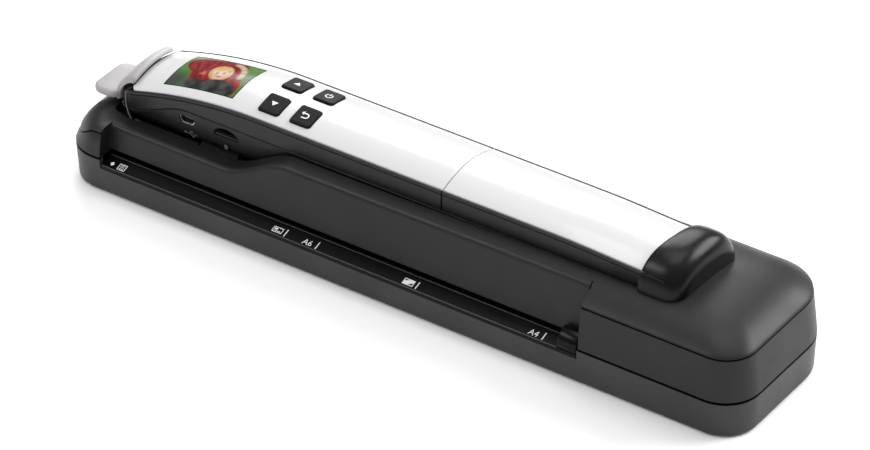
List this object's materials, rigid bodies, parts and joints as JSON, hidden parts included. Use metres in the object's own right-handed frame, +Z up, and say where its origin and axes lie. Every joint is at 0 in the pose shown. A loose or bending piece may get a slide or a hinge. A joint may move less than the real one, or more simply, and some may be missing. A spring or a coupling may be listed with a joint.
{
  "type": "sheet fed document scanner",
  "caption": "Portable document scanner: a long low motor-driven sheet-feed dock holding a slim wand scanner with a small colour screen and keys, under a rounded hood and a spring latch.",
  "frame": {"origin": "centre of the dock's underside, on the plane the rubber feet stand on", "axes": "+X along the dock towards the end with the hood, -Y towards the paper entry side, +Z up"},
  "size_m": [0.316, 0.072, 0.057],
  "materials": {
    "satin_black": "satin moulded, very fine texture",
    "hood_black": "satin moulded, a little smoother than the housing",
    "gloss_black": "polished black",
    "gloss_white": "polished white",
    "grey_plastic": "fine satin light grey",
    "key_plastic": "satin dark grey caps with light printed signs",
    "screen_glass": "clear hard window with a picture showing through",
    "scan_glass": "clear flat glass",
    "rubber": "matt black rubber",
    "steel": "ground or zinc plated steel",
    "bronze": "sintered bronze",
    "gear_nylon": "natural nylon",
    "circuit_board": "green solder resist",
    "battery_wrap": "dark heat-shrink wrap"
  },
  "bodies": {
    "dock": {"top_shell": "satin_black", "base_shell": "satin_black", "hood": "hood_black", "feed_strip": "gloss_black", "edge_guide": "gloss_black", "paper_bed": "satin_black", "backing_pad": "gloss_white", "foot_front_left": "rubber", "foot_rear_left": "rubber", "foot_front_right": "rubber", "foot_rear_right": "rubber", "case_screw_front_left": "steel", "case_screw_rear_left": "steel", "case_screw_front_right": "steel", "case_screw_rear_right": "steel", "bearing_plate_left": "steel", "bearing_plate_right": "steel", "feed_bush_left": "bronze", "feed_bush_right": "bronze", "exit_bush_left": "bronze", "exit_bush_right": "bronze", "idler_pin": "steel", "feed_motor": "steel", "dock_board": "circuit_board", "power_jack": "gloss_black", "latch_pin": "steel", "latch_spring": "steel"},
    "latch": {"latch_lever": "grey_plastic"},
    "feed_roll": {"feed_shaft": "steel", "feed_roller_left": "rubber", "feed_roller_right": "rubber", "feed_gear": "gear_nylon"},
    "exit_roll": {"exit_shaft": "steel", "exit_roller_left": "rubber", "exit_roller_right": "rubber", "exit_gear": "gear_nylon"},
    "idler": {"idler_gear": "gear_nylon"},
    "pinion": {"motor_pinion": "gear_nylon"},
    "wand": {"wand_base": "satin_black", "wand_frame": "satin_black", "wand_cover": "gloss_white", "battery_door": "satin_black", "battery_door_panel": "gloss_white", "screen_window": "screen_glass", "display_module": "gloss_black", "main_board": "circuit_board", "key_board": "circuit_board", "usb_port": "steel", "card_socket": "steel", "image_sensor": "gloss_black", "scan_glass": "scan_glass", "battery_pack": "battery_wrap"},
    "wand_wheels": {"wand_axle": "steel", "wand_wheel_left": "rubber", "wand_wheel_right": "rubber"},
    "key_down": {"key_down": "key_plastic"},
    "key_back": {"key_back": "key_plastic"},
    "key_up": {"key_up": "key_plastic"},
    "key_power": {"key_power": "key_plastic"},
    "card": {"memory_card": "gloss_black"}
  },
  "joints": [
    {"name": "wand_lift", "type": "hinge", "parent": "dock", "child": "wand", "pos_m": [0.104, 0, 0.05], "axis": [0, 1, 0], "range_deg": [0, 2.5]},
    {"name": "latch_swing", "type": "hinge", "parent": "dock", "child": "latch", "pos_m": [-0.146, -0.0014, 0.009], "axis": [0, -1, 0], "range_deg": [0, 19]},
    {"name": "feed_roll_spin", "type": "hinge", "parent": "dock", "child": "feed_roll", "pos_m": [0, -0.01, 0.0196], "axis": [1, 0, 0], "continuous": true},
    {"name": "exit_roll_spin", "type": "hinge", "parent": "dock", "child": "exit_roll", "pos_m": [0, 0.008, 0.0196], "axis": [1, 0, 0], "continuous": true},
    {"name": "idler_spin", "type": "hinge", "parent": "dock", "child": "idler", "pos_m": [0.095, -0.001, 0.0126], "axis": [1, 0, 0], "continuous": true},
    {"name": "pinion_spin", "type": "hinge", "parent": "dock", "child": "pinion", "pos_m": [0.095, 0.00952, 0.01017], "axis": [1, 0, 0], "continuous": true},
    {"name": "wand_wheels_spin", "type": "hinge", "parent": "wand", "child": "wand_wheels", "pos_m": [0, 0.008, 0.0304], "axis": [1, 0, 0], "continuous": true},
    {"name": "key_down_press", "type": "slide", "parent": "wand", "child": "key_down", "axis": [0, 0.2175, -0.9761], "range_m": [0, 0.0006]},
    {"name": "key_back_press", "type": "slide", "parent": "wand", "child": "key_back", "axis": [0, 0.2175, -0.9761], "range_m": [0, 0.0006]},
    {"name": "key_up_press", "type": "slide", "parent": "wand", "child": "key_up", "axis": [0, -0.1675, -0.9859], "range_m": [0, 0.0006]},
    {"name": "key_power_press", "type": "slide", "parent": "wand", "child": "key_power", "axis": [0, -0.1675, -0.9859], "range_m": [0, 0.0006]},
    {"name": "card_slide", "type": "slide", "parent": "wand", "child": "card", "axis": [0, -1, 0], "range_m": [0, 0.011]}
  ],
  "couplings": [
    {"joint": "latch_swing", "follows": "wand_lift", "ratio": 7.6},
    {"joint": "exit_roll_spin", "follows": "feed_roll_spin", "ratio": 1},
    {"joint": "idler_spin", "follows": "feed_roll_spin", "ratio": -0.58333},
    {"joint": "pinion_spin", "follows": "feed_roll_spin", "ratio": 1.1667}
  ]
}
